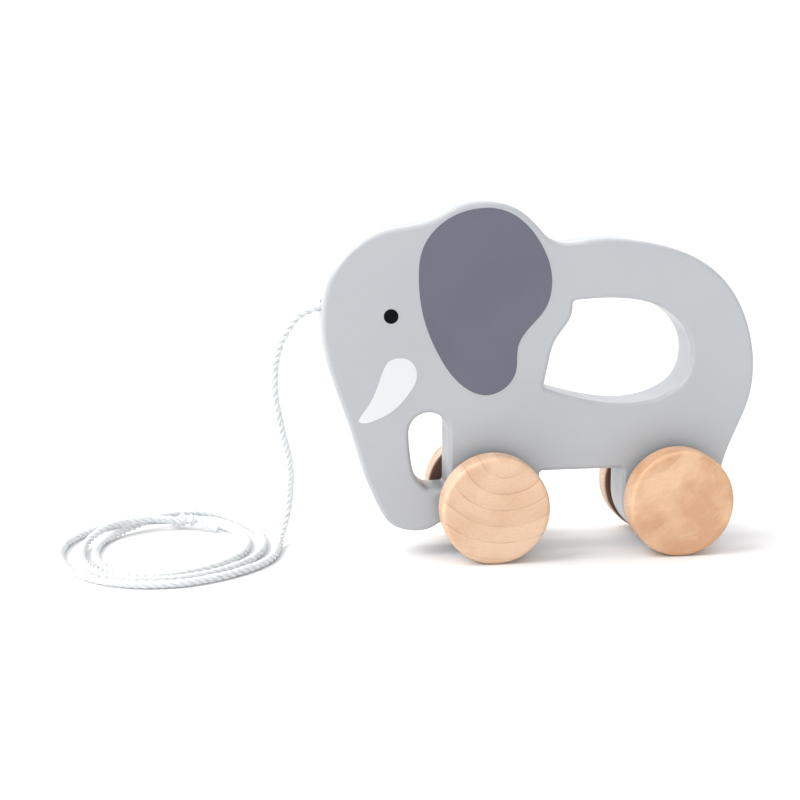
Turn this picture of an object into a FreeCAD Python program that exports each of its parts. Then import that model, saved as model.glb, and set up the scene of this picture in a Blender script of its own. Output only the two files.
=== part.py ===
import FreeCAD, Part
import math
import os
import Sketcher

# A wooden elephant on four wheels, pulled by a cord. One sawn, painted board makes the
# animal; each pair of wheels is glued on a dowel that turns freely in the board.
# Millimetres. +Z is up, the elephant faces -X, its own left side is -Y, the floor is
# Z = 0 and the origin lies on the floor under the middle of the board.

SIZES = [
    ("body_length", 162.0, "forehead to rump"),
    ("body_height", 130.8, "floor to the top of the head"),
    ("board_thickness", 18.0, "planed board"),
    ("edge_round", 1.6, "rounding of the board's sawn edges"),
    ("corner_round", 1.5, "rounding of the inner corners of the outline"),
    ("belly_height", 30.9, "floor to the belly between the legs"),
    ("front_axle_x", -19.7, "front axle, along the board"),
    ("wheelbase", 69.8, "front axle to rear axle"),
    ("foot_clearance", 1.0, "floor to the lowest point of each foot"),
    ("trunk_gap_wall", 15.3, "front axle to the front of the front leg"),
    ("trunk_gap_width", 14.8, "front leg to trunk"),
    ("trunk_gap_top", 54.2, "floor to the top of the gap"),
    ("trunk_gap_sill", 4.9, "front axle to the bottom of the gap, upwards"),
    ("wheel_diameter", 40.0, "turned beech wheel"),
    ("wheel_width", 10.2, "wheel, face to back"),
    ("wheel_face_round", 1.8, "rounding of the wheel's outer rim"),
    ("wheel_back_round", 1.2, "rounding of the wheel's inner rim"),
    ("axle_diameter", 8.0, "beech dowel"),
    ("axle_play", 0.1, "radial clearance of the dowel in the board"),
    ("axle_seat", 7.0, "depth of the blind hole in each wheel"),
    ("axle_chamfer", 0.6, "chamfer on the ends of the dowel"),
    ("spacer_diameter", 15.0, "wooden washer between wheel and board"),
    ("spacer_width", 3.9, "the same washer, along the axle"),
    ("running_gap", 0.4, "washer to board, each side"),
    ("print_film", 0.1, "thickness of the printed colours"),
    ("eye_diameter", 5.3, "printed eye"),
    ("cord_diameter", 3.0, "twisted cotton cord"),
    ("cord_hole_play", 0.3, "radial clearance of the cord in its hole"),
    ("cord_hole_depth", 12.0, "depth of the hole in the forehead"),
    ("cord_hole_height", 94.3, "floor to the axis of that hole"),
    ("coil_length", 82.8, "loose coil on the floor, along X"),
    ("coil_width", 91.5, "the same coil, along Y"),
    ("coil_band", 17.0, "width of the turns lying side by side"),
    ("coil_height", 6.1, "two cords high where the turns cross"),
    ("knot_diameter", 6.8, "knot that ends the cord"),
]

# The curves below are drawn on a board of this length and height, and are stretched to
# the length and height in the sheet.
DRAWN_LENGTH = 162.0
DRAWN_HEIGHT = 130.8

# Rump, back, dome of the head, forehead and trunk, from above the rear foot round to
# the underside of the trunk.
BACK_AND_HEAD = [
    (75.2, 44.5), (79.9, 57.0), (81.0, 69.0), (78.6, 83.0), (70.0, 99.4),
    (56.0, 110.2), (36.0, 115.8), (17.0, 116.6), (6.4, 115.7), (2.0, 117.4),
    (-2.4, 121.7), (-10.8, 128.5), (-21.0, 130.8), (-32.0, 129.2), (-42.0, 124.2),
    (-50.0, 122.2), (-60.5, 120.1), (-71.0, 113.6), (-78.4, 103.6), (-81.0, 91.0),
    (-78.5, 71.0), (-74.0, 57.5), (-70.3, 46.0), (-66.5, 32.8), (-61.3, 20.0),
    (-56.4, 12.6), (-50.0, 10.0),
]
# Between that curve and the two feet, counted from where each foot's round begins.
OFF_REAR_FOOT = (0.9, 10.0)
TO_FRONT_FOOT = [(-6.4, -3.6), (-2.8, -2.3)]
# The gap's side along the trunk, as shares of the gap's width and of its depth under the
# shoulder, from the shoulder down to its floor.
TRUNK_SIDE = [(0.05, 0.56), (0.17, 0.24), (0.40, 0.05), (0.66, 0.0)]
# Grip hole: the wall behind the ear, then the top, the rump side and the floor of it.
GRIP_EAR_WALL = [(0.2, 62.2), (2.3, 72.0), (5.0, 80.4), (9.4, 86.6), (10.8, 94.4)]
GRIP_REST = [
    (10.8, 94.4), (22.0, 95.1), (36.0, 94.1), (47.6, 89.5), (54.6, 81.6), (56.5, 74.0),
    (53.7, 63.9), (45.0, 57.8), (33.0, 55.5), (18.5, 57.0), (6.0, 60.3), (0.2, 62.2),
]
EAR = [
    (-21.8, 128.6), (-9.8, 125.0), (-1.9, 116.3), (2.8, 103.0), (0.3, 91.5), (-5.3, 85.0),
    (-9.5, 78.0), (-10.2, 69.0), (-14.0, 63.0), (-21.3, 60.3), (-29.8, 63.8),
    (-38.8, 75.5), (-44.4, 89.5), (-46.1, 103.0), (-44.4, 114.8), (-37.2, 123.6),
]
TUSK = [
    (-56.6, 74.0), (-53.6, 74.8), (-50.3, 74.3), (-47.6, 71.7), (-46.9, 67.4),
    (-49.3, 62.4), (-53.3, 57.6), (-58.0, 54.0), (-63.0, 51.9), (-66.4, 51.2),
    (-68.1, 51.9), (-67.4, 53.8), (-64.9, 57.2), (-62.3, 62.0), (-60.2, 67.6),
    (-58.5, 71.8),
]
EYE = (-56.2, 90.1)

# The cord from the bottom of its hole to the coil, as the points that its runs join.
CORD_ROUTE = [
    (-69.0, 0.0, 94.3), (-86.6, 0.0, 93.9), (-96.4, 0.0, 80.0), (-98.6, 0.0, 64.0),
    (-95.6, 1.5, 47.0), (-92.0, 9.5, 32.5), (-91.9, 17.5, 21.0), (-92.8, 20.0, 10.6),
    (-96.0, 14.0, 2.7), (-97.6, 3.8, 1.9),
]
COIL_CENTRE = (-136.1, 10.4)
KNOT_CENTRE = (-131.0, 41.0, 3.9)

doc = FreeCAD.newDocument("pull_along_elephant")
sheet = doc.addObject("Spreadsheet::Sheet", "Sizes")
for row, (alias, value, meaning) in enumerate(SIZES, start=1):
    sheet.set("A%d" % row, meaning)
    sheet.set("B%d" % row, str(value))
    sheet.setAlias("B%d" % row, alias)
doc.recompute()


def size(alias):
    """The sheet's value for a name."""
    return float(sheet.get(alias))


def drawn(x, z):
    """A point of the drawn outlines, stretched to the board's own length and height."""
    return FreeCAD.Vector(
        x * size("body_length") / DRAWN_LENGTH, z * size("body_height") / DRAWN_HEIGHT, 0
    )


def spline(points, start=None, end=None):
    """A curve through the points, leaving and arriving along a direction where one is given."""
    curve = Part.BSplineCurve()
    tangents = [FreeCAD.Vector()] * len(points)
    tangents[0] = start or FreeCAD.Vector()
    tangents[-1] = end or FreeCAD.Vector()
    flags = [tangent.Length > 0 for tangent in tangents]
    curve.interpolate(Points=points, Tangents=tangents, TangentFlags=flags)
    return curve


def loop(points):
    """A closed smooth curve through the points."""
    curve = Part.BSplineCurve()
    curve.interpolate(Points=points, PeriodicFlag=True)
    return curve


def new_body(name):
    """An empty PartDesign body with its label."""
    body = doc.addObject("PartDesign::Body", name)
    body.Label = name
    return body


def new_sketch(body, name, plane):
    """A sketch on one of the body's own origin planes."""
    sketch = body.newObject("Sketcher::SketchObject", name)
    origin_plane = [f for f in body.Origin.OriginFeatures if f.Role == plane][0]
    sketch.AttachmentSupport = [(origin_plane, "")]
    sketch.MapMode = "FlatFace"
    return sketch


def pad(body, sketch, name, length, reverse=False, both_ways=False):
    """Thickens a sketch by a length that is bound to the sheet."""
    feature = body.newObject("PartDesign::Pad", name)
    feature.Profile = sketch
    feature.SideType = "Symmetric" if both_ways else "One side"
    feature.Reversed = reverse
    feature.setExpression("Length", length)
    return feature


def cut_through(body, sketch, name):
    """Cuts a sketch right through the board, from its middle plane to both sides."""
    feature = body.newObject("PartDesign::Pocket", name)
    feature.Profile = sketch
    feature.SideType = "Symmetric"
    feature.setExpression("Length", "Sizes.board_thickness * 2")
    return feature


def circle(sketch, across, up, radius):
    """A circle whose centre and radius are bound to the sheet."""
    values = [float(sketch.evalExpression(text)) for text in (across, up, radius)]
    centre = FreeCAD.Vector(values[0], values[1], 0)
    index = sketch.addGeometry(Part.Circle(centre, FreeCAD.Vector(0, 0, 1), values[2]))
    bound = []
    for kind, text, value in (("DistanceX", across, values[0]), ("DistanceY", up, values[1])):
        if text == "0":
            axis = -2 if kind == "DistanceX" else -1
            sketch.addConstraint(Sketcher.Constraint("PointOnObject", index, 3, axis))
        else:
            rule = Sketcher.Constraint(kind, -1, 1, index, 3, value)
            bound.append((sketch.addConstraint(rule), text))
    rule = Sketcher.Constraint("Radius", index, values[2])
    bound.append((sketch.addConstraint(rule), radius))
    for number, text in bound:
        sketch.setExpression("Constraints[%d]" % number, text)


def turned(body, corners):
    """A body turned about Y. Each corner of its half section is (along, out), as the
    expressions that its two distances from the origin are bound to."""
    sketch = new_sketch(body, body.Name + "_section", "YZ_Plane")
    ends = [
        FreeCAD.Vector(*[float(sketch.evalExpression(text)) for text in corner], 0)
        for corner in corners
    ]
    count = len(corners)
    for i in range(count):
        sketch.addGeometry(Part.LineSegment(ends[i], ends[(i + 1) % count]))
    for i in range(count):
        sketch.addConstraint(Sketcher.Constraint("Coincident", i, 2, (i + 1) % count, 1))
    bound = []
    for i, (along, out) in enumerate(corners):
        for kind, text, value, axis in (
            ("DistanceX", along, ends[i].x, -2),
            ("DistanceY", out, ends[i].y, -1),
        ):
            if text == "0":
                sketch.addConstraint(Sketcher.Constraint("PointOnObject", i, 1, axis))
            else:
                rule = Sketcher.Constraint(kind, -1, 1, i, 1, value)
                bound.append((sketch.addConstraint(rule), text))
    for number, text in bound:
        sketch.setExpression("Constraints[%d]" % number, text)
    feature = body.newObject("PartDesign::Revolution", body.Name + "_turning")
    feature.Profile = sketch
    feature.ReferenceAxis = (sketch, ["H_Axis"])
    feature.Angle = 360
    doc.recompute()
    return feature


def edge_names(feature, wanted):
    """The names of the feature's edges that the test accepts."""
    edges = feature.Shape.Edges
    return ["Edge%d" % (i + 1) for i, edge in enumerate(edges) if wanted(edge)]


def round_edges(body, feature, name, wanted, radius):
    """A fillet on the edges that the test accepts, with its radius bound to the sheet."""
    fillet = body.newObject("PartDesign::Fillet", name)
    fillet.Base = (feature, edge_names(feature, wanted))
    fillet.setExpression("Radius", radius)
    doc.recompute()
    return fillet


def rim(radius, along):
    """A test for the circular edge of that radius at that place along Y."""

    def wanted(edge):
        curve = edge.Curve
        round_one = isinstance(curve, Part.Circle) and abs(curve.Radius - radius) < 1e-6
        return round_one and abs(curve.Center.y - along) < 1e-6

    return wanted


sub_parts = []

# Board: the whole animal, sawn from one planed board.
front_x = size("front_axle_x")
rear_x = front_x + size("wheelbase")
axle_z = size("wheel_diameter") / 2
foot_radius = axle_z - size("foot_clearance")
half_board = size("board_thickness") / 2

board = new_body("body_board")
outline = new_sketch(board, "outline", "XZ_Plane")
belly_z = size("belly_height")
# The trunk runs into the front foot a little below the axle.
trunk_angle = math.radians(200)
trunk_end = FreeCAD.Vector(
    front_x + foot_radius * math.cos(trunk_angle),
    axle_z + foot_radius * math.sin(trunk_angle),
    0,
)
front_foot_back = FreeCAD.Vector(front_x + foot_radius, axle_z, 0)
front_leg_top = FreeCAD.Vector(front_x + foot_radius, belly_z, 0)
rear_leg_top = FreeCAD.Vector(rear_x - foot_radius, belly_z, 0)
rear_foot_front = FreeCAD.Vector(rear_x - foot_radius, axle_z, 0)
rear_foot_back = FreeCAD.Vector(rear_x + foot_radius, axle_z, 0)
front_foot_low = FreeCAD.Vector(front_x, axle_z - foot_radius, 0)
rear_foot_low = FreeCAD.Vector(rear_x, axle_z - foot_radius, 0)
upper = [rear_foot_back, rear_foot_back + FreeCAD.Vector(*OFF_REAR_FOOT, 0)]
upper += [drawn(x, z) for x, z in BACK_AND_HEAD]
upper += [trunk_end + FreeCAD.Vector(x, z, 0) for x, z in TO_FRONT_FOOT]
upper += [trunk_end]
pieces = [
    spline(upper, start=FreeCAD.Vector(0, 1, 0)),
    Part.Arc(trunk_end, front_foot_low, front_foot_back),
    Part.LineSegment(front_foot_back, front_leg_top),
    Part.LineSegment(front_leg_top, rear_leg_top),
    Part.LineSegment(rear_leg_top, rear_foot_front),
    Part.Arc(rear_foot_front, rear_foot_low, rear_foot_back),
]
for piece in pieces:
    outline.addGeometry(piece)
blank = pad(board, outline, "sawn_blank", "Sizes.board_thickness", both_ways=True)

grip = new_sketch(board, "grip_outline", "XZ_Plane")
grip.addGeometry(spline([drawn(x, z) for x, z in GRIP_EAR_WALL]))
grip.addGeometry(spline([drawn(x, z) for x, z in GRIP_REST]))
cut_through(board, grip, "grip_hole")

gap = new_sketch(board, "trunk_gap_outline", "XZ_Plane")
gap_right = front_x - size("trunk_gap_wall")
gap_left = gap_right - size("trunk_gap_width")
gap_radius = size("trunk_gap_width") / 2
gap_low = axle_z + size("trunk_gap_sill")
gap_shoulder = drawn(0, size("trunk_gap_top")).y - gap_radius
left_shoulder = FreeCAD.Vector(gap_left, gap_shoulder, 0)
right_shoulder = FreeCAD.Vector(gap_right, gap_shoulder, 0)
gap_crown = FreeCAD.Vector(gap_left + gap_radius, gap_shoulder + gap_radius, 0)
drop = gap_shoulder - gap_low
trunk_side = [left_shoulder]
for across, up in TRUNK_SIDE:
    trunk_side.append(
        FreeCAD.Vector(gap_left + across * size("trunk_gap_width"), gap_low + up * drop, 0)
    )
low_corner = FreeCAD.Vector(gap_right, gap_low, 0)
gap.addGeometry(Part.Arc(right_shoulder, gap_crown, left_shoulder))
gap.addGeometry(spline(trunk_side, FreeCAD.Vector(0, -1, 0), FreeCAD.Vector(1, 0, 0)))
gap.addGeometry(Part.LineSegment(trunk_side[-1], low_corner))
gap.addGeometry(Part.LineSegment(low_corner, right_shoulder))
cut_through(board, gap, "trunk_gap")

holes = new_sketch(board, "axle_hole_circles", "XZ_Plane")
hole_radius = "Sizes.axle_diameter / 2 + Sizes.axle_play"
circle(holes, "Sizes.front_axle_x", "Sizes.wheel_diameter / 2", hole_radius)
rear_axle = "Sizes.front_axle_x + Sizes.wheelbase"
circle(holes, rear_axle, "Sizes.wheel_diameter / 2", hole_radius)
cut_through(board, holes, "axle_holes")

# The cord's hole runs into the forehead, and stops in a flat bottom.
mouth = new_sketch(board, "cord_hole_circle", "YZ_Plane")
bottom = "-(Sizes.body_length / 2 - Sizes.cord_hole_depth)"
mouth.setExpression("AttachmentOffset.Base.z", bottom)
circle(mouth, "0", "Sizes.cord_hole_height", "Sizes.cord_diameter / 2 + Sizes.cord_hole_play")
doc.recompute()
cord_hole = board.newObject("PartDesign::Pocket", "cord_hole")
cord_hole.Profile = mouth
cord_hole.setExpression("Length", "Sizes.cord_hole_depth * 2")
doc.recompute()
hole_end = size("cord_hole_depth") - size("body_length") / 2
for step, wood in ((-1, False), (1, True)):
    probe = FreeCAD.Vector(hole_end + step, 0, size("cord_hole_height"))
    if board.Shape.isInside(probe, 1e-6, False) != wood:
        raise ValueError("the cord's hole is not cut where it should be")


def sawn_corner(edge):
    """An edge that crosses the board where two stretches of an outline meet at an angle."""
    ends = [vertex.Point for vertex in edge.Vertexes]
    if len(ends) != 2 or abs(abs(ends[0].y - ends[1].y) - 2 * half_board) > 1e-6:
        return False
    sides = cord_hole.Shape.ancestorsOfType(edge, Part.Face)
    normals = [face.normalAt(*face.Surface.parameter(edge.CenterOfMass)) for face in sides]
    return len(sides) == 2 and abs(normals[0].dot(normals[1])) < 0.99


def on_board_face(edge):
    """An edge in one of the two faces, apart from the mouths of the axle holes."""
    heights = [vertex.Point.y for vertex in edge.Vertexes]
    flat = all(abs(abs(y) - half_board) < 1e-6 and abs(y - heights[0]) < 1e-6 for y in heights)
    is_hole = isinstance(edge.Curve, Part.Circle) and edge.Closed
    return flat and not is_hole


corners = round_edges(board, cord_hole, "corner_rounds", sawn_corner, "Sizes.corner_round")
round_edges(board, corners, "edge_rounds", on_board_face, "Sizes.edge_round")
sub_parts.append(board)

# Printed colours: a thin film on each side of the board for the ear, the eye and the tusk.
for side, direction in (("left", -1), ("right", 1)):
    for name, points in (("ear", EAR), ("eye", None), ("tusk", TUSK)):
        film = new_body("print_%s_%s" % (name, side))
        shape = new_sketch(film, "%s_%s_outline" % (name, side), "XZ_Plane")
        if points:
            shape.addGeometry(loop([drawn(x, z) for x, z in points]))
        else:
            eye_x = "%r * Sizes.body_length / %r" % (EYE[0], DRAWN_LENGTH)
            eye_z = "%r * Sizes.body_height / %r" % (EYE[1], DRAWN_HEIGHT)
            circle(shape, eye_x, eye_z, "Sizes.eye_diameter / 2")
        pad(film, shape, "%s_%s_film" % (name, side), "Sizes.print_film", direction > 0)
        film.setExpression("Placement.Base.y", "%d * Sizes.board_thickness / 2" % direction)
        sub_parts.append(film)

# Wheel sets: a dowel with a washer and a wheel glued on each end.
wheel_back = "Sizes.board_thickness / 2 + Sizes.running_gap + Sizes.spacer_width"
for end, axle_x in (("front", "Sizes.front_axle_x"), ("rear", rear_axle)):
    dowel = new_body(end + "_axle")
    reach = "(%s + Sizes.axle_seat)" % wheel_back
    half_axle = "Sizes.axle_diameter / 2"
    blank = turned(
        dowel,
        [("-" + reach, "0"), (reach, "0"), (reach, half_axle), ("-" + reach, half_axle)],
    )
    bevel = dowel.newObject("PartDesign::Chamfer", end + "_axle_bevels")
    tips = [
        rim(size("axle_diameter") / 2, sign * float(sheet.evalExpression(reach)))
        for sign in (-1, 1)
    ]
    bevel.Base = (blank, edge_names(blank, tips[0]) + edge_names(blank, tips[1]))
    bevel.setExpression("Size", "Sizes.axle_chamfer")
    dowel.setExpression("Placement.Base.x", axle_x)
    dowel.setExpression("Placement.Base.z", "Sizes.wheel_diameter / 2")
    sub_parts.append(dowel)
    for side, direction in (("left", -1), ("right", 1)):
        washer = new_body("%s_%s_spacer" % (end, side))
        turned(
            washer,
            [
                ("0", half_axle), ("Sizes.spacer_width", half_axle),
                ("Sizes.spacer_width", "Sizes.spacer_diameter / 2"),
                ("0", "Sizes.spacer_diameter / 2"),
            ],
        )
        start = "Sizes.board_thickness / 2 + Sizes.running_gap"
        washer.setExpression("Placement.Base.y", "%d * (%s)" % (direction, start))

        wheel = new_body("%s_%s_wheel" % (end, side))
        disc = turned(
            wheel,
            [
                ("0", half_axle), ("Sizes.axle_seat", half_axle), ("Sizes.axle_seat", "0"),
                ("Sizes.wheel_width", "0"), ("Sizes.wheel_width", "Sizes.wheel_diameter / 2"),
                ("0", "Sizes.wheel_diameter / 2"),
            ],
        )
        face = round_edges(
            wheel, disc, wheel.Name + "_face_round",
            rim(axle_z, size("wheel_width")), "Sizes.wheel_face_round",
        )
        round_edges(
            wheel, face, wheel.Name + "_back_round", rim(axle_z, 0), "Sizes.wheel_back_round"
        )
        wheel.setExpression("Placement.Base.y", "%d * (%s)" % (direction, wheel_back))
        for piece in (washer, wheel):
            half_turn = 180 if direction < 0 else 0
            turn = FreeCAD.Rotation(FreeCAD.Vector(0, 0, 1), half_turn)
            piece.Placement.Rotation = turn
            piece.setExpression("Placement.Base.x", axle_x)
            piece.setExpression("Placement.Base.z", "Sizes.wheel_diameter / 2")
            sub_parts.append(piece)

# Cord: a tube from its hole down to the floor, the loose coil and the knot at its end.


def rounded_path(points):
    """Straight runs joined by tangent arcs, each as large as its two runs allow."""
    points = [FreeCAD.Vector(*point) for point in points]
    edges = []
    at = points[0]
    for before, corner, after in zip(points, points[1:], points[2:]):
        arriving = (corner - before).normalize()
        leaving = (after - corner).normalize()
        half_turn = arriving.getAngle(leaving) / 2
        setback = 0.45 * min((corner - before).Length, (after - corner).Length)
        radius = setback / math.tan(half_turn)
        print("cord radius %.1f mm" % radius)
        first = corner - arriving * setback
        last = corner + leaving * setback
        inward = (leaving - arriving).normalize()
        centre = corner + inward * math.hypot(radius, setback)
        middle = centre - inward * radius
        edges.append(Part.LineSegment(at, first).toShape())
        edges.append(Part.Arc(first, middle, last).toShape())
        at = last
    edges.append(Part.LineSegment(at, points[-1]).toShape())
    return Part.Wire(edges)


path = rounded_path(CORD_ROUTE)
start = FreeCAD.Vector(*CORD_ROUTE[0])
heading = FreeCAD.Vector(*CORD_ROUTE[1]) - start
section = Part.Wire(Part.makeCircle(size("cord_diameter") / 2, start, heading))
tube = path.makePipeShell([section], True, False)
expected = math.pi * size("cord_diameter") ** 2 / 4 * path.Length
print("cord tube %.1f mm long, volume %.4f of expected" % (path.Length, tube.Volume / expected))
if abs(tube.Volume / expected - 1) > 0.01:
    raise ValueError("the cord's tube has the wrong volume")
cord = doc.addObject("Part::Feature", "cord")
cord.Label = "cord"
cord.Shape = tube
cord.Placement = FreeCAD.Placement()
sub_parts.append(cord)

coil = new_body("cord_coil")
rings = new_sketch(coil, "coil_rings", "XY_Plane")
half_x = size("coil_length") / 2
half_y = size("coil_width") / 2
for inset in (0, size("coil_band")):
    major = FreeCAD.Vector(0, half_y - inset, 0)
    minor = FreeCAD.Vector(half_x - inset, 0, 0)
    rings.addGeometry(Part.Ellipse(major, minor, FreeCAD.Vector()))
ring = pad(coil, rings, "coil_ring", "Sizes.coil_height")
doc.recompute()
round_edges(
    coil, ring, "coil_top_rounds",
    lambda edge: abs(edge.CenterOfMass.z - size("coil_height")) < 1e-6,
    "Sizes.cord_diameter / 2",
)
coil.Placement.Base = FreeCAD.Vector(*COIL_CENTRE, 0)
sub_parts.append(coil)

knot = doc.addObject("Part::Sphere", "cord_end_knot")
knot.Label = "cord_end_knot"
knot.setExpression("Radius", "Sizes.knot_diameter / 2")
knot.Placement.Base = FreeCAD.Vector(*KNOT_CENTRE)
sub_parts.append(knot)

doc.recompute()
for item in doc.Objects:
    if "Invalid" in item.State or "Error" in item.State:
        raise ValueError("%s failed: %s" % (item.Name, item.State))
os.makedirs("parts", exist_ok=True)
for part in sub_parts:
    if part.Shape.isNull() or not part.Shape.isValid():
        raise ValueError("%s has no valid shape" % part.Label)
for part in sub_parts:
    part.Shape.exportStep("parts/%s.step" % part.Label)
    print("%-20s %9.1f mm3" % (part.Label, part.Shape.Volume))
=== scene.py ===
import math

import bpy
import numpy as np
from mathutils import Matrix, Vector


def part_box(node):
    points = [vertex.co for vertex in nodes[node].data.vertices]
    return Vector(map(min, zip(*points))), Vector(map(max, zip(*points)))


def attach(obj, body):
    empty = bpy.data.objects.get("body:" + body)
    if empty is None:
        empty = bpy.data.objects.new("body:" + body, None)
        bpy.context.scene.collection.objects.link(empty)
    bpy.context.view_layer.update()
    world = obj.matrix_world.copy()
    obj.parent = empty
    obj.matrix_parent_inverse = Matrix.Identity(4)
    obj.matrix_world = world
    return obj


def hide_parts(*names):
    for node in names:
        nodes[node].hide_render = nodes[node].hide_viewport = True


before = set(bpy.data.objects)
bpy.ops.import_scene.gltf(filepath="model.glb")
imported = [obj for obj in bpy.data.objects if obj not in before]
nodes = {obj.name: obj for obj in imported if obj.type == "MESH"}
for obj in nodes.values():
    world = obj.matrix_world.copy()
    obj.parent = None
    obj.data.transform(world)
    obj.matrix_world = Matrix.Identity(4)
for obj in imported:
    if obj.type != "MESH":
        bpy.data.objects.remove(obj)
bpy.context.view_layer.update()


# ------------------------------------------------------------------ camera
# A still camera on a stand, low and a little to the left of square on to the toy's left
# side, with a long enough lens to keep the board from looking bent.
LOOK_AT = Vector((-0.04135, 0.0, 0.06170))
TURNED = math.radians(-8.58)
RAISED = math.radians(10.707)
STAND_OFF = 0.56886
towards_camera = Vector((
    math.sin(TURNED) * math.cos(RAISED),
    -math.cos(TURNED) * math.cos(RAISED),
    math.sin(RAISED),
))
camera = bpy.data.objects.new("camera", bpy.data.cameras.new("camera"))
bpy.context.scene.collection.objects.link(camera)
camera.location = LOOK_AT + STAND_OFF * towards_camera
camera.rotation_euler = towards_camera.to_track_quat("Z", "Y").to_euler()
camera.data.sensor_width = 36.0
camera.data.lens = 69.24
camera.data.shift_x = -0.0353
camera.data.shift_y = -0.0144
bpy.context.scene.camera = camera


# ------------------------------------------------------------------ pull cord
# Soft white cotton cord, three strands laid together, its end glued into a blind hole in
# the forehead. It hangs in a slack curve to the floor and the rest lies in loose turns.
CORD_DIAMETER = 0.003
CORD_LAY = 0.0088
CORD_STEP = 0.0005
CORD_ROUTE = [
    (-0.0690, 0.0000, 0.0943), (-0.0866, 0.0000, 0.0939), (-0.0964, 0.0000, 0.0800),
    (-0.0986, 0.0000, 0.0640), (-0.0956, 0.0015, 0.0470), (-0.0920, 0.0095, 0.0325),
    (-0.0919, 0.0175, 0.0210), (-0.0928, 0.0200, 0.0106), (-0.0960, 0.0140, 0.0027),
    (-0.0976, 0.0038, 0.0015),
]
# The turns wind clockwise from above about COIL_MIDDLE. Each wanders in and out of a
# plain oval by a share of its size. The second climbs over the first at the rear, and the
# third climbs over the second there and comes down inside it, where its end knot lies.
COIL_MIDDLE = (-0.1363, 0.0110)
COIL_REACH = (0.0385, 0.0410)
COIL_START = math.radians(-10.0)
COIL_TURNS = 2.75
POINTS_PER_TURN = 24
OVAL_SHARE = [
    (0.00, 1.02), (0.05, 1.05), (0.10, 1.02), (0.15, 1.02), (0.20, 1.07), (0.25, 1.09),
    (0.30, 1.11), (0.35, 1.10), (0.40, 1.08), (0.45, 1.08), (0.50, 1.08), (0.55, 1.09),
    (0.60, 1.08), (0.65, 1.05), (0.70, 1.03), (0.75, 0.93), (0.80, 0.85), (0.85, 0.80),
    (0.90, 0.77), (1.00, 0.72), (1.08, 0.71), (1.16, 0.75), (1.23, 0.85), (1.29, 0.89),
    (1.36, 0.81), (1.42, 0.76), (1.50, 0.74), (1.60, 0.78), (1.65, 0.83), (1.70, 0.87),
    (1.75, 0.93), (1.80, 0.96), (1.85, 0.94), (1.91, 0.92), (2.00, 0.88), (2.10, 0.87),
    (2.18, 0.91), (2.25, 0.97), (2.30, 0.99), (2.36, 0.93), (2.45, 0.87), (2.50, 0.87),
    (2.55, 0.85), (2.60, 0.81), (2.65, 0.775), (2.70, 0.75), (2.75, 0.745),
]
LIFT = [
    (1.60, 0.0), (1.65, 0.0010), (1.70, 0.0033), (1.80, 0.0033), (1.87, 0.0012), (1.94, 0.0),
    (2.47, 0.0), (2.52, 0.0012), (2.575, 0.0038), (2.67, 0.0038), (2.71, 0.0026),
    (2.75, 0.0020),
]


def wound_turns():
    """Points of the loose turns: at t turns from the start, an angle that falls by a full
    turn for each t, on an oval scaled by its share there, at half the cord's thickness
    above the floor plus the lift where the cord crosses itself."""
    t = np.arange(1, round(COIL_TURNS * POINTS_PER_TURN) + 1) / POINTS_PER_TURN
    angle = COIL_START - 2 * np.pi * t
    share = np.interp(t, *np.transpose(OVAL_SHARE))
    return np.column_stack([
        COIL_MIDDLE[0] + COIL_REACH[0] * share * np.cos(angle),
        COIL_MIDDLE[1] + COIL_REACH[1] * share * np.sin(angle),
        CORD_DIAMETER / 2 + np.interp(t, *np.transpose(LIFT)),
    ])


def smooth_line(name, points):
    """The middle line of a limp cord: a smooth spline with those points as its control
    points, read back as closely spaced points along it."""
    line = bpy.data.curves.new(name, "CURVE")
    line.dimensions = "3D"
    line.resolution_u = 32
    spline = line.splines.new("NURBS")
    spline.points.add(len(points) - 1)
    spline.points.foreach_set("co", np.c_[points, np.ones(len(points))].ravel())
    spline.order_u = 3
    spline.use_endpoint_u = True
    holder = bpy.data.objects.new(name, line)
    bpy.context.scene.collection.objects.link(holder)
    drawn = bpy.data.meshes.new_from_object(holder)
    found = np.zeros(len(drawn.vertices) * 3)
    drawn.vertices.foreach_get("co", found)
    bpy.data.meshes.remove(drawn)
    bpy.data.objects.remove(holder)
    return found.reshape(-1, 3)


def evenly_spaced(line, step):
    """The same line with its points one step apart, found by its length up to each."""
    run = np.linalg.norm(np.diff(line, axis=0), axis=1)
    along = np.r_[0.0, np.cumsum(run)]
    keep = np.r_[True, run > 1e-9]
    stops = np.linspace(0.0, along[-1], int(along[-1] / step) + 1)
    return np.column_stack([np.interp(stops, along[keep], line[keep, k]) for k in range(3)])


# A ring of points has this many across. Each strand's middle stands off the cord's by
# STRAND_REACH of the cord's radius, and its thickness varies by a share, UNEVENNESS.
ACROSS = 36
STRAND_REACH = 0.52
UNEVENNESS = 0.05


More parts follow.
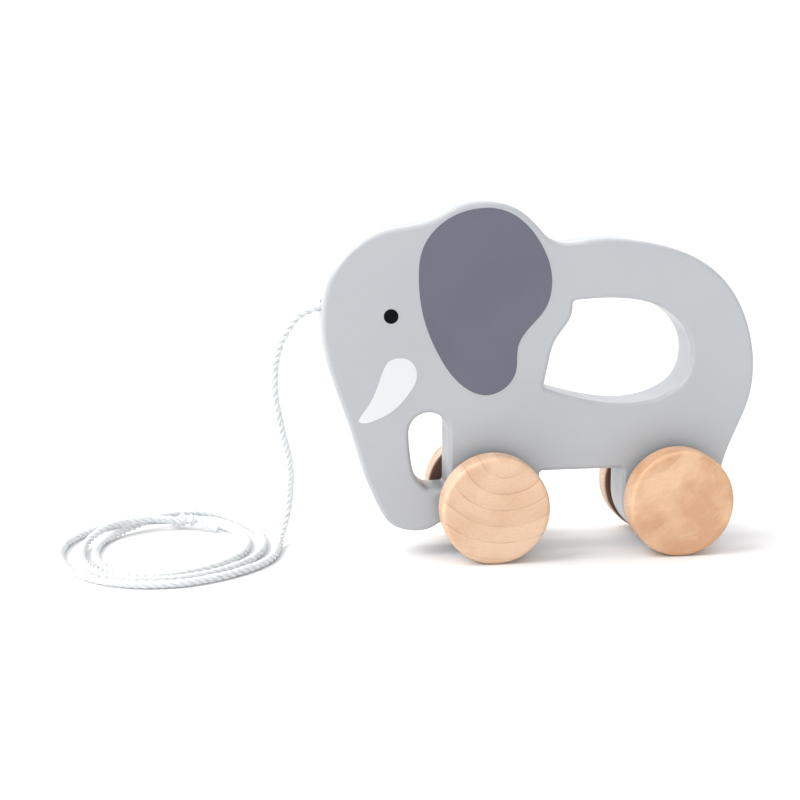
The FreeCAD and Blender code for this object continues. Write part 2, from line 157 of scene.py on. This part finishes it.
def laid_strands(line, diameter, lay, aside, unevenness, seed):
    """Rings of points of a cord laid from three strands. At distance s along the line and
    angle a round it, the radius is the outer edge of three equal circles set a third of a
    turn apart. The circles turn once for each lay length of s, and a few slow waves make
    the strands a little thicker and thinner, as hand-laid cotton is. `aside` is any
    direction that the line never runs along: the angle is counted from it."""
    rng = np.random.default_rng(seed)
    ahead = np.gradient(line, axis=0)
    ahead /= np.linalg.norm(ahead, axis=1)[:, None]
    first = np.asarray(aside) - (ahead @ np.asarray(aside))[:, None] * ahead
    first /= np.linalg.norm(first, axis=1)[:, None]
    second = np.cross(ahead, first)
    s = np.r_[0.0, np.cumsum(np.linalg.norm(np.diff(line, axis=0), axis=1))][:, None]
    a = np.linspace(0.0, 2 * np.pi, ACROSS, endpoint=False)[None, :]
    strand = np.floor(a * 3 / (2 * np.pi)).astype(int)
    off = a - (strand + 0.5) * 2 * np.pi / 3
    reach = STRAND_REACH * diameter / 2
    thick = diameter / 2 - reach
    edge = reach * np.cos(off) + np.sqrt(thick**2 - (reach * np.sin(off)) ** 2)
    waves = rng.uniform(60, 420, (3, 4))
    starts = rng.uniform(0, 2 * np.pi, (3, 4))
    swell = np.sin(s[:, :, None] * waves + starts).mean(axis=2)
    edge = edge * (1 + unevenness * swell[:, strand[0]])
    wander = 0.35 * np.sin(s * 95.0 + starts[0, 0]) + 0.2 * np.sin(s * 231.0 + starts[1, 1])
    turned = a + 2 * np.pi * s / lay + wander
    return (
        line[:, None, :]
        + (edge * np.cos(turned))[:, :, None] * first[:, None, :]
        + (edge * np.sin(turned))[:, :, None] * second[:, None, :]
    ), s[:, 0]


def closed_tube(name, rings, s, line):
    """A piece with a closed skin over rings of points: one face between each two
    neighbours, and a fan to the middle of the line at each end. Its UV map has the
    distance along in centimetres, and the turn round from 0 to 1."""
    count, across = rings.shape[:2]
    i = np.repeat(np.arange(count - 1), across)
    j = np.tile(np.arange(across), count - 1)
    after = (j + 1) % across
    sides = np.column_stack([
        i * across + j, i * across + after, (i + 1) * across + after, (i + 1) * across + j,
    ])
    rim = np.arange(across)
    beside = (rim + 1) % across
    start_pole, end_pole = count * across, count * across + 1
    last = (count - 1) * across
    start = np.column_stack([np.full(across, start_pole), beside, rim])
    end = np.column_stack([np.full(across, end_pole), last + rim, last + beside])
    points = np.vstack([rings.reshape(-1, 3), line[0], line[-1]])
    mesh = bpy.data.meshes.new(name)
    mesh.from_pydata(points.tolist(), [], sides.tolist() + start.tolist() + end.tolist())
    u = 100 * np.stack([s[i], s[i], s[i + 1], s[i + 1]], axis=1)
    v = np.stack([j, j + 1, j + 1, j], axis=1) / across
    side_uv = np.stack([u, v], axis=2).reshape(-1, 2)
    cap_u = np.repeat([100 * s[0], 100 * s[-1]], 3 * across)
    cap_v = np.tile(np.stack([rim, rim + 1, rim], axis=1).ravel() / across, 2)
    uv = np.vstack([side_uv, np.column_stack([cap_u, cap_v])])
    mesh.uv_layers.new(name="lay").data.foreach_set("uv", uv.ravel())
    mesh.polygons.foreach_set("use_smooth", np.ones(len(mesh.polygons), bool))
    mesh.update()
    piece = bpy.data.objects.new(name, mesh)
    bpy.context.scene.collection.objects.link(piece)
    return piece


def add_node(tree, kind, sockets=(), **settings):
    """One shader node, with its settings, and each socket set to a value or joined."""
    made = tree.nodes.new(kind)
    for key, value in settings.items():
        setattr(made, key, value)
    for key, value in dict(sockets).items():
        if isinstance(value, bpy.types.NodeSocket):
            tree.links.new(value, made.inputs[key])
        else:
            made.inputs[key].default_value = value
    return made


def reckon(tree, operation, *values):
    """The result of one Math node on those values."""
    made = add_node(tree, "ShaderNodeMath", dict(enumerate(values)), operation=operation)
    return made.outputs[0]


def between(tree, value, low, high, to_low=0.0, to_high=1.0):
    """A value eased from one range to another."""
    made = add_node(
        tree, "ShaderNodeMapRange",
        {"Value": value, "From Min": low, "From Max": high, "To Min": to_low, "To Max": to_high},
        interpolation_type="SMOOTHSTEP",
    )
    return made.outputs["Result"]


def blended(tree, share, first, second):
    """The colour that is `first` where share is 0 and `second` where it is 1."""
    made = add_node(tree, "ShaderNodeMix", {"Factor": share}, data_type="RGBA")
    for socket, value in (("A_Color", first), ("B_Color", second)):
        target = next(x for x in made.inputs if x.identifier == socket)
        if isinstance(value, bpy.types.NodeSocket):
            tree.links.new(value, target)
        else:
            target.default_value = (*value, 1.0)
    return next(x for x in made.outputs if x.identifier == "Result_Color")


def new_finish(name, **shader):
    """A material with its Principled shader, and the shader's own constants set."""
    material = bpy.data.materials.new(name)
    material.use_nodes = True
    tree = material.node_tree
    surface = tree.nodes["Principled BSDF"]
    for key, value in shader.items():
        surface.inputs[key.replace("_", " ")].default_value = value
    return material, tree, surface


def raise_grain(tree, surface, height, distance):
    """The surface raised by a height from 0 to 1, times a distance in metres."""
    bump = add_node(
        tree, "ShaderNodeBump", {"Height": height, "Distance": distance, "Strength": 1.0},
    )
    tree.links.new(bump.outputs["Normal"], surface.inputs["Normal"])


COTTON_LIGHT = (0.760, 0.790, 0.798)
COTTON_SHADE = (0.655, 0.685, 0.695)


def cotton_yarn():
    """Carded cotton: fine fibres slant across each strand, the valleys between strands are
    painted greyer as shade, and the whole is dull with a soft sheen."""
    material, tree, surface = new_finish(
        "cord_cotton_yarn", Sheen_Weight=0.35, Sheen_Roughness=0.6, IOR=1.45,
        Subsurface_Weight=0.4, Subsurface_Radius=(0.0016, 0.0016, 0.0016), Subsurface_Scale=1.0,
    )
    lay = add_node(tree, "ShaderNodeUVMap", uv_map="lay").outputs["UV"]
    slant = add_node(tree, "ShaderNodeMapping", {
        "Vector": lay, "Rotation": (0.0, 0.0, math.radians(24.0)), "Scale": (7.0, 60.0, 1.0),
    }).outputs["Vector"]
    fibres = add_node(tree, "ShaderNodeTexNoise", {
        "Vector": slant, "Scale": 1.0, "Detail": 4.0, "Roughness": 0.65,
    }).outputs["Fac"]
    # Painted shade: the valleys between the strands are darkened towards the grey tone.
    split = add_node(tree, "ShaderNodeSeparateXYZ", {"Vector": lay})
    third = reckon(tree, "FRACT", reckon(tree, "MULTIPLY", split.outputs["Y"], 3.0))
    from_middle = reckon(tree, "ABSOLUTE", reckon(tree, "SUBTRACT", third, 0.5))
    valley_shade = between(tree, from_middle, 0.30, 0.50)
    soil = add_node(tree, "ShaderNodeTexNoise", {
        "Vector": lay, "Scale": 0.8, "Detail": 2.0,
    }).outputs["Fac"]
    shade = reckon(tree, "ADD", reckon(tree, "MULTIPLY", valley_shade, 0.55),
                   between(tree, fibres, 0.35, 0.75, 0.0, 0.30))
    shade = reckon(tree, "ADD", shade, between(tree, soil, 0.4, 0.8, 0.0, 0.12))
    colour = blended(tree, shade, COTTON_LIGHT, COTTON_SHADE)
    tree.links.new(colour, surface.inputs["Base Color"])
    tree.links.new(between(tree, fibres, 0.2, 0.8, 0.78, 0.95), surface.inputs["Roughness"])
    raise_grain(tree, surface, fibres, 0.00022)
    return material


route = np.vstack([CORD_ROUTE, wound_turns()])
cord_line = evenly_spaced(smooth_line("cord_line", route), CORD_STEP)
cord_rings, cord_run = laid_strands(
    cord_line, CORD_DIAMETER, CORD_LAY, aside=(0.7, 0.0, -0.7), unevenness=UNEVENNESS, seed=3,
)
pull_cord = closed_tube("pull_cord", cord_rings, cord_run, cord_line)
cotton = cotton_yarn()
pull_cord.data.materials.append(cotton)
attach(pull_cord, "elephant")
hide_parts("cord", "cord_coil")


# ------------------------------------------------------------------ end knot
# The free end of the cord tied in a plain overhand knot, pulled tight, with a short tail
# that keeps the strands from running back. The pull squeezes the strands a little thinner.
KNOT_SIZE = (0.00095, 0.00072, 0.00025)
KNOT_REACH = 2.16
KNOT_STEP = 0.0003
KNOT_SQUEEZE = 0.9
TAIL = 0.006


def overhand(middle, heading):
    """The line of an overhand knot about a middle point, headed one way: t cubed less 3t
    across, t to the fourth less 4 t squared downwards but no lower than the knot's ends,
    and t to the fifth less 10t along, each times its size, then a straight tail."""
    t = np.linspace(-KNOT_REACH, KNOT_REACH, 160)
    across = KNOT_SIZE[0] * (t**3 - 3 * t)
    up = -KNOT_SIZE[1] * np.minimum(t**4 - 4 * t**2 + 2.2, 2.2)
    along = KNOT_SIZE[2] * (t**5 - 10 * t)
    heading = np.array([heading[0], heading[1], 0.0]) / math.hypot(*heading[:2])
    aside = np.array([heading[1], -heading[0], 0.0])
    knot = (
        np.asarray(middle)
        + across[:, None] * aside
        + along[:, None] * heading
        + up[:, None] * np.array([0.0, 0.0, 1.0])
    )
    out = knot[-1] - knot[-2]
    out /= np.linalg.norm(out)
    tail = knot[-1] + np.linspace(KNOT_STEP, TAIL, 14)[:, None] * (out * [1.0, 1.0, 0.2])
    tail[:, 2] = np.linspace(knot[-1, 2], CORD_DIAMETER / 2, 14)
    return np.vstack([knot, tail])


knot_low, knot_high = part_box("cord_end_knot")
knot_middle = (np.array(knot_low) + np.array(knot_high)) / 2
knot_line = evenly_spaced(overhand(knot_middle, cord_line[-1] - cord_line[-12]), KNOT_STEP)
knot_rings, knot_run = laid_strands(
    knot_line, KNOT_SQUEEZE * CORD_DIAMETER, CORD_LAY, aside=(0.9, 0.1, 0.45),
    unevenness=UNEVENNESS, seed=5,
)
end_knot = closed_tube("end_knot", knot_rings, knot_run, knot_line)
end_knot.data.materials.append(cotton)
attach(end_knot, "elephant")
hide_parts("cord_end_knot")


# ------------------------------------------------------------------ elephant board
# One beech board, sawn to the outline of an elephant with a hand grip and a gap behind
# the trunk, its edges rounded over, then sanded and sprayed with satin grey lacquer.
def new_group(name, takes, gives):
    """An empty shader group, with its named inputs and their values, and its outputs."""
    group = bpy.data.node_groups.new(name, "ShaderNodeTree")
    for key, kind, value in takes:
        socket = group.interface.new_socket(key, in_out="INPUT", socket_type="NodeSocket" + kind)
        if value is not None:
            socket.default_value = value
    for key in gives:
        group.interface.new_socket(key, in_out="OUTPUT", socket_type="NodeSocketFloat")
    return group, group.nodes.new("NodeGroupInput"), group.nodes.new("NodeGroupOutput")


def sprayed_film():
    """How a sprayed or printed film varies over wood, each from 0 to 1: Tone in soft
    clouds, Dulling in finer ones, and Height from the ripple of the spray, the grain that
    shows through along X, and a few dust specks."""
    group, given, result = new_group(
        "sprayed film",
        [("Vector", "Vector", None), ("Ripple", "Float", 620.0), ("Grain", "Float", 0.3)],
        ["Tone", "Dulling", "Height"],
    )
    place = given.outputs["Vector"]
    clouds = add_node(group, "ShaderNodeTexNoise", {
        "Vector": place, "Scale": 26.0, "Detail": 3.0, "Roughness": 0.55,
    }).outputs["Fac"]
    patches = add_node(group, "ShaderNodeTexNoise", {
        "Vector": place, "Scale": 85.0, "Detail": 4.0, "Roughness": 0.6,
    }).outputs["Fac"]
    ripple = add_node(group, "ShaderNodeTexNoise", {
        "Vector": place, "Scale": given.outputs["Ripple"], "Detail": 1.0, "Roughness": 0.4,
    }).outputs["Fac"]
    drawn_out = add_node(group, "ShaderNodeVectorMath", {
        0: place, 1: (22.0, 500.0, 900.0),
    }, operation="MULTIPLY").outputs["Vector"]
    grain = add_node(group, "ShaderNodeTexNoise", {
        "Vector": drawn_out, "Scale": 1.0, "Detail": 3.0, "Roughness": 0.55,
    }).outputs["Fac"]
    dust = add_node(group, "ShaderNodeTexVoronoi", {"Vector": place, "Scale": 240.0})
    speck = between(group, dust.outputs["Distance"], 0.10, 0.02)
    few = between(group, add_node(group, "ShaderNodeSeparateColor", {
        "Color": dust.outputs["Color"],
    }).outputs["Red"], 0.93, 0.95)
    height = reckon(group, "ADD", reckon(group, "MULTIPLY", ripple, 0.6),
                    reckon(group, "MULTIPLY", grain, given.outputs["Grain"]))
    height = reckon(group, "ADD", height,
                    reckon(group, "MULTIPLY", reckon(group, "MULTIPLY", speck, few), 0.8))
    group.links.new(between(group, clouds, 0.3, 0.7), result.inputs["Tone"])
    group.links.new(between(group, patches, 0.3, 0.7), result.inputs["Dulling"])
    group.links.new(height, result.inputs["Height"])
    return group


def edge_wear_and_highlight():
    """Where a rounded edge is lightened, partly as worn paint or wood and partly as a painted
    highlight: 1 half way round the rounding between a flank and the wall beside it, broken up
    by a fine noise, 0 on flat faces."""
    group, given, result = new_group(
        "edge wear and highlight", [("Vector", "Vector", None), ("Normal", "Vector", None)], ["Mask"],
    )
    split = add_node(group, "ShaderNodeSeparateXYZ", {"Vector": given.outputs["Normal"]})
    sideways = reckon(group, "MULTIPLY", split.outputs["Y"], split.outputs["Y"])
    flat = reckon(group, "SUBTRACT", 1.0, sideways)
    rounding = reckon(group, "MULTIPLY", reckon(group, "MULTIPLY", sideways, flat), 4.0)
    uneven = add_node(group, "ShaderNodeTexNoise", {
        "Vector": given.outputs["Vector"], "Scale": 210.0, "Detail": 4.0, "Roughness": 0.6,
    }).outputs["Fac"]
    mask = reckon(group, "MULTIPLY", between(group, rounding, 0.45, 1.0),
                  between(group, uneven, 0.35, 0.75))
    group.links.new(mask, result.inputs["Mask"])
    return group


FILM = sprayed_film()
EDGE = edge_wear_and_highlight()


def paint(name, darker, lighter, dullest, shiniest, depth, ripple=620.0, grain=0.3, wear_and_highlight=0.0,
          wear_and_highlight_tone=(1.0, 1.0, 1.0), **shader):
    """A film of paint: between two tones, between two roughnesses, with the film's own
    ripple of a depth in metres, and lighter along rounded edges by a share, partly as worn
    paint and partly as a painted highlight."""
    material, tree, surface = new_finish(name, **shader)
    place = add_node(tree, "ShaderNodeTexCoord")
    film = add_node(tree, "ShaderNodeGroup", node_tree=FILM)
    tree.links.new(place.outputs["Object"], film.inputs["Vector"])
    film.inputs["Ripple"].default_value = ripple
    film.inputs["Grain"].default_value = grain
    colour = blended(tree, film.outputs["Tone"], darker, lighter)
    if wear_and_highlight:
        edge = add_node(tree, "ShaderNodeGroup", node_tree=EDGE)
        tree.links.new(place.outputs["Object"], edge.inputs["Vector"])
        tree.links.new(place.outputs["Normal"], edge.inputs["Normal"])
        colour = blended(tree, reckon(tree, "MULTIPLY", edge.outputs["Mask"], wear_and_highlight), colour, wear_and_highlight_tone)
    tree.links.new(colour, surface.inputs["Base Color"])
    rough = between(tree, film.outputs["Dulling"], 0.0, 1.0, shiniest, dullest)
    tree.links.new(rough, surface.inputs["Roughness"])
    raise_grain(tree, surface, film.outputs["Height"], depth)
    return material


# The rounded edges of the board are lightened towards a paler grey: partly worn lacquer, partly a
# painted highlight.
board_paint = paint(
    "board_grey_lacquer", darker=(0.404, 0.420, 0.441), lighter=(0.422, 0.438, 0.459),
    dullest=0.38, shiniest=0.28, depth=0.000012, wear_and_highlight=0.3, wear_and_highlight_tone=(0.56, 0.58, 0.60), IOR=1.50,
)
nodes["body_board"].material_slots[0].material = board_paint


# ------------------------------------------------------------------ ear, eye and tusk
# Flat shapes printed on both flanks through a screen: a dark grey ear, a black eye and a
# white tusk, in matt ink thicker than the lacquer under it.
PRINTS = {
    "ear": dict(darker=(0.124, 0.130, 0.164), lighter=(0.138, 0.144, 0.180),
                dullest=0.66, shiniest=0.54, depth=0.00004, Specular_IOR_Level=0.15),
    "eye": dict(darker=(0.002, 0.003, 0.005), lighter=(0.004, 0.005, 0.008),
                dullest=0.60, shiniest=0.48, depth=0.00002, Specular_IOR_Level=0.05),
    "tusk": dict(darker=(0.650, 0.680, 0.685), lighter=(0.690, 0.720, 0.725),
                 dullest=0.60, shiniest=0.48, depth=0.00004, Specular_IOR_Level=0.15),
}
for shape, look in PRINTS.items():
    ink = paint(shape + "_ink", ripple=1400.0, grain=0.5, **look)
    for side in ("left", "right"):
        nodes[f"print_{shape}_{side}"].material_slots[0].material = ink


# ------------------------------------------------------------------ wheels
# Four discs turned from pale beech, the outer rim rounded, sanded and given one thin coat
# of clear lacquer. The face towards the board is painted dark brown as the shade of the
# narrow gap beside the board, and its bore is blind.
def beech_grain():
    """How beech varies, each from 0 to 1, about a pith that runs along Y through the
    origin. Ring is a thin line at the end of each year's growth, where the distance from
    the pith is a whole number of ring widths, with a soft rise before it. Year is a tone
    that differs from ring to ring, Figure is a slow cloud, Streak is fine lines along the
    rings, and Fleck is the short dark dashes of the rays."""
    group, given, result = new_group(
        "beech grain",
        [("Vector", "Vector", None), ("Ring Width", "Float", 0.006), ("Wander", "Float", 0.5),
         ("Uneven", "Float", 0.8), ("Start", "Float", 0.0)],
        ["Ring", "Year", "Figure", "Streak", "Fleck"],
    )
    place = given.outputs["Vector"]
    sway = add_node(group, "ShaderNodeTexNoise", {
        "Vector": place, "Scale": 42.0, "Detail": 2.0, "Roughness": 0.45,
    }).outputs["Fac"]
    sway = reckon(group, "MULTIPLY", reckon(group, "SUBTRACT", sway, 0.5), given.outputs["Wander"])
    split = add_node(group, "ShaderNodeSeparateXYZ", {"Vector": place})
    x, y, z = (split.outputs[k] for k in "XYZ")
    far = reckon(group, "SQRT", reckon(group, "ADD", reckon(group, "MULTIPLY", x, x),
                                       reckon(group, "MULTIPLY", z, z)))
    years = reckon(group, "ADD", reckon(group, "DIVIDE", far, given.outputs["Ring Width"]), sway)
    uneven = add_node(group, "ShaderNodeTexNoise", {"W": years, "Scale": 0.9},
                      noise_dimensions="1D").outputs["Fac"]
    years = reckon(group, "ADD", years,
                   reckon(group, "MULTIPLY", uneven, given.outputs["Uneven"]))
    years = reckon(group, "ADD", years, given.outputs["Start"])
    through = reckon(group, "FRACT", years)
    line = reckon(group, "MULTIPLY", between(group, through, 0.86, 0.965),
                  between(group, through, 1.0, 0.975))
    rise = reckon(group, "MULTIPLY", between(group, through, 0.35, 0.95), 0.25)
    year = add_node(group, "ShaderNodeTexWhiteNoise", {"W": reckon(group, "FLOOR", years)},
                    noise_dimensions="1D").outputs["Value"]
    worn = add_node(group, "ShaderNodeTexNoise", {
        "Vector": place, "Scale": 95.0, "Detail": 2.0, "Roughness": 0.5,
    }).outputs["Fac"]
    faded = reckon(group, "MULTIPLY", line, between(group, year, -0.4, 0.9))
    faded = reckon(group, "MULTIPLY", faded, between(group, worn, 0.38, 0.60, 0.25, 1.0))
    ring = reckon(group, "MAXIMUM", faded, reckon(group, "MULTIPLY", rise, year))
    figure = add_node(group, "ShaderNodeTexNoise", {
        "Vector": place, "Scale": 70.0, "Detail": 3.0, "Roughness": 0.55, "Distortion": 0.4,
    }).outputs["Fac"]
    round_pith = reckon(group, "ARCTAN2", x, z)
    unrolled = add_node(group, "ShaderNodeCombineXYZ", {
        "X": reckon(group, "MULTIPLY", round_pith, 11.0),
        "Y": reckon(group, "MULTIPLY", y, 260.0),
        "Z": reckon(group, "ADD", reckon(group, "MULTIPLY", far, 2600.0),
                    reckon(group, "MULTIPLY", sway, 8.0)),
    }).outputs["Vector"]
    streak = add_node(group, "ShaderNodeTexNoise", {
        "Vector": unrolled, "Scale": 1.0, "Detail": 4.0, "Roughness": 0.6,
    }).outputs["Fac"]
    dashes = add_node(group, "ShaderNodeCombineXYZ", {
        "X": reckon(group, "MULTIPLY", round_pith, 26.0),
        "Y": reckon(group, "MULTIPLY", y, 420.0),
        "Z": reckon(group, "MULTIPLY", far, 1900.0),
    }).outputs["Vector"]
    rays = add_node(group, "ShaderNodeTexVoronoi", {"Vector": dashes, "Scale": 1.0})
    chosen = add_node(group, "ShaderNodeSeparateColor", {"Color": rays.outputs["Color"]})
    fleck = reckon(group, "MULTIPLY", between(group, rays.outputs["Distance"], 0.34, 0.10),
                   between(group, chosen.outputs["Green"], 0.62, 0.80))
    for key, value in (
        ("Ring", ring), ("Year", year), ("Figure", between(group, figure, 0.3, 0.7)),
        ("Streak", between(group, streak, 0.3, 0.7)), ("Fleck", fleck),
    ):
        group.links.new(value, result.inputs[key])
    return group


BEECH = beech_grain()


def beech(name, middle, pith, turn, ring_width, wander, pale, warm, line, ring=0.5,
          blotch=0.5, uneven=0.8, start=0.0, gap_shade=None, **shader):
    """Lacquered beech. The pith stands off the piece's middle by `pith`, and the whole
    pattern is turned about it. Two tones blend by the figure and the year, and the rings,
    flecks and streaks are darker. The rounded rim is lightened towards the pale tone,
    partly as sanded wear and partly as a painted highlight. Where given, a dark tone is
    painted on the face that looks at the board, as painted shade of the narrow gap there."""
    material, tree, surface = new_finish(name, **shader)
    place = add_node(tree, "ShaderNodeTexCoord")
    heart = [middle[k] + pith[k] for k in range(3)]
    moved = add_node(tree, "ShaderNodeVectorMath", {
        0: place.outputs["Object"], 1: heart,
    }, operation="SUBTRACT").outputs["Vector"]
    tilted = add_node(tree, "ShaderNodeMapping", {"Vector": moved, "Rotation": turn})
    grain = add_node(tree, "ShaderNodeGroup", node_tree=BEECH)
    tree.links.new(tilted.outputs["Vector"], grain.inputs["Vector"])
    grain.inputs["Ring Width"].default_value = ring_width
    grain.inputs["Wander"].default_value = wander
    grain.inputs["Uneven"].default_value = uneven
    grain.inputs["Start"].default_value = start
    share = reckon(tree, "ADD", reckon(tree, "MULTIPLY", grain.outputs["Figure"], blotch),
                   reckon(tree, "MULTIPLY", grain.outputs["Year"], 0.35))
    colour = blended(tree, share, pale, warm)
    mark = reckon(tree, "ADD", reckon(tree, "MULTIPLY", grain.outputs["Ring"], ring),
                  reckon(tree, "MULTIPLY", grain.outputs["Fleck"], 0.30))
    mark = reckon(tree, "ADD", mark, reckon(tree, "MULTIPLY", grain.outputs["Streak"], 0.16))
    colour = blended(tree, mark, colour, line)
    # The rounded rim is lightened towards the pale tone: partly sanded wear, partly a painted
    # highlight.
    edge = add_node(tree, "ShaderNodeGroup", node_tree=EDGE)
    tree.links.new(place.outputs["Object"], edge.inputs["Vector"])
    tree.links.new(place.outputs["Normal"], edge.inputs["Normal"])
    colour = blended(tree, reckon(tree, "MULTIPLY", edge.outputs["Mask"], 0.35), colour, pale)
    # Painted shade: the face that looks at the board is darkened towards the dark tone, standing
    # in for the shade of the narrow gap there.
    if gap_shade:
        facing = add_node(tree, "ShaderNodeSeparateXYZ", {"Vector": place.outputs["Normal"]})
        inward = reckon(tree, "MULTIPLY", facing.outputs["Y"], -1.0 if middle[1] > 0 else 1.0)
        colour = blended(tree, between(tree, inward, 0.5, 0.95), colour, gap_shade)
    tree.links.new(colour, surface.inputs["Base Color"])
    rough = between(tree, grain.outputs["Streak"], 0.0, 1.0, 0.40, 0.56)
    tree.links.new(rough, surface.inputs["Roughness"])
    hollow = reckon(tree, "ADD", reckon(tree, "MULTIPLY", grain.outputs["Streak"], 0.5),
                    reckon(tree, "MULTIPLY", grain.outputs["Fleck"], 0.5))
    raise_grain(tree, surface, reckon(tree, "SUBTRACT", 1.0, hollow), 0.00004)
    return material


def middle_of(name):
    """The middle of a CAD node's box."""
    low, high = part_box(name)
    return (low + high) / 2


# Dark brown painted on each wheel's face towards the board: painted shade of the narrow gap
# between wheel and board.
PAINTED_GAP_SHADE = (0.120, 0.050, 0.028)
WHEELS = {
    "front_left_wheel": dict(
        pith=(0.0045, 0.020, 0.0215), turn=(0.06, 0.0, 0.05), ring_width=0.00615, wander=0.4,
        pale=(0.760, 0.540, 0.378), warm=(0.630, 0.395, 0.248), line=(0.400, 0.205, 0.105),
        uneven=0.15, start=6.215, ring=0.60, blotch=0.6),
    "rear_left_wheel": dict(
        pith=(-0.0200, 0.030, 0.0300), turn=(0.35, 0.4, 0.25), ring_width=0.0085, wander=2.4,
        pale=(0.745, 0.495, 0.310), warm=(0.585, 0.325, 0.178), line=(0.380, 0.175, 0.080),
        ring=0.14, blotch=0.95),
    # The two right wheels get darker, greyer tones than the left ones: partly wood that differs
    # from wheel to wheel, partly painted shade.
    "front_right_wheel": dict(
        pith=(0.0150, -0.040, -0.0240), turn=(-0.1, 0.9, 0.1), ring_width=0.0052, wander=0.8,
        pale=(0.670, 0.480, 0.345), warm=(0.560, 0.370, 0.248), line=(0.360, 0.210, 0.130)),
    "rear_right_wheel": dict(
        pith=(-0.0100, 0.010, 0.0280), turn=(0.2, -0.5, 0.1), ring_width=0.0070, wander=0.9,
        pale=(0.650, 0.460, 0.325), warm=(0.545, 0.350, 0.230), line=(0.330, 0.205, 0.140)),
}
for name, look in WHEELS.items():
    wood = beech(name + "_beech", middle=middle_of(name), gap_shade=PAINTED_GAP_SHADE, IOR=1.50,
                 Coat_Weight=0.12, Coat_Roughness=0.30, **look)
    nodes[name].material_slots[0].material = wood


# ------------------------------------------------------------------ axles
# Two straight beech dowels, 8 mm thick, that turn in plain holes through the feet. Their
# ends are pressed and glued into the wheels' blind bores.
for name in ("front_axle", "rear_axle"):
    wood = beech(
        name + "_beech", middle=middle_of(name), pith=(0.011, 0.0, 0.009), turn=(0.0, 0.0, 0.0),
        ring_width=0.0024, wander=0.3, pale=(0.700, 0.470, 0.280), warm=(0.600, 0.360, 0.190),
        line=(0.400, 0.200, 0.090), IOR=1.48,
    )
    nodes[name].material_slots[0].material = wood


# ------------------------------------------------------------------ washers
# Thin beech washers on the axles, between each foot and its wheel, that keep the wheels
# from rubbing the grey lacquer.
for name in nodes:
    if name.endswith("_spacer"):
        wood = beech(
            name + "_beech", middle=middle_of(name), pith=(0.020, 0.0, 0.004),
            turn=(0.1, 0.3, 0.0), ring_width=0.0030, wander=0.4, pale=(0.690, 0.460, 0.270),
            warm=(0.590, 0.350, 0.185), line=(0.390, 0.190, 0.085), IOR=1.48,
        )
        nodes[name].material_slots[0].material = wood


# ------------------------------------------------------------------ studio
# A wide white table top a hair below the wheels, a white surround, and three large soft
# lights: the strongest up to the left, one in front and a weak one above.
FLOOR_REACH = 6.0
FLOOR_LEVEL = -0.00004
floor_mesh = bpy.data.meshes.new("table_top")
floor_mesh.from_pydata(
    [(x * FLOOR_REACH, y * FLOOR_REACH, FLOOR_LEVEL)
     for x, y in ((-1, -1), (1, -1), (1, 1), (-1, 1))],
    [], [(0, 1, 2, 3)],
)
table_top = bpy.data.objects.new("table_top", floor_mesh)
bpy.context.scene.collection.objects.link(table_top)
card, _, card_surface = new_finish("white_card", Roughness=0.75, IOR=1.30)
card_surface.inputs["Base Color"].default_value = (0.82, 0.815, 0.82, 1.0)
floor_mesh.materials.append(card)

# The surround is seen plain white. As a light it is brighter behind the toy than in front.
SEEN_WHITE = 1.05
LIGHT_IN_FRONT = 0.42
LIGHT_BEHIND = 1.45
surround = bpy.data.worlds.new("white_surround")
surround.use_nodes = True
sky_tree = surround.node_tree
sky_tree.nodes["Background"].inputs["Color"].default_value = (1.0, 1.0, 1.0, 1.0)
looking = add_node(sky_tree, "ShaderNodeSeparateXYZ", {
    "Vector": add_node(sky_tree, "ShaderNodeTexCoord").outputs["Generated"],
})
lighting = between(sky_tree, looking.outputs["Y"], -0.7, 0.7, LIGHT_IN_FRONT, LIGHT_BEHIND)
seen = add_node(sky_tree, "ShaderNodeLightPath").outputs["Is Camera Ray"]
sky_tree.links.new(
    reckon(sky_tree, "ADD", reckon(sky_tree, "MULTIPLY", seen, SEEN_WHITE),
           reckon(sky_tree, "MULTIPLY", reckon(sky_tree, "SUBTRACT", 1.0, seen), lighting)),
    sky_tree.nodes["Background"].inputs["Strength"],
)
bpy.context.scene.world = surround

# Each light's power, its spread in degrees and the direction that it comes from.
SOFT_LIGHTS = {
    "light_left": (2.7, 45.0, (-0.68, -0.02, 0.73)),
    "light_front": (1.4, 60.0, (-0.40, -0.90, 0.15)),
    "light_above": (0.4, 60.0, (0.10, -0.15, 1.0)),
}
for name, (power, spread, direction) in SOFT_LIGHTS.items():
    lamp = bpy.data.objects.new(name, bpy.data.lights.new(name, "SUN"))
    lamp.data.energy = power
    lamp.data.angle = math.radians(spread)
    lamp.rotation_euler = Vector(direction).to_track_quat("Z", "Y").to_euler()
    bpy.context.scene.collection.objects.link(lamp)

bpy.context.scene.view_settings.view_transform = "Standard"
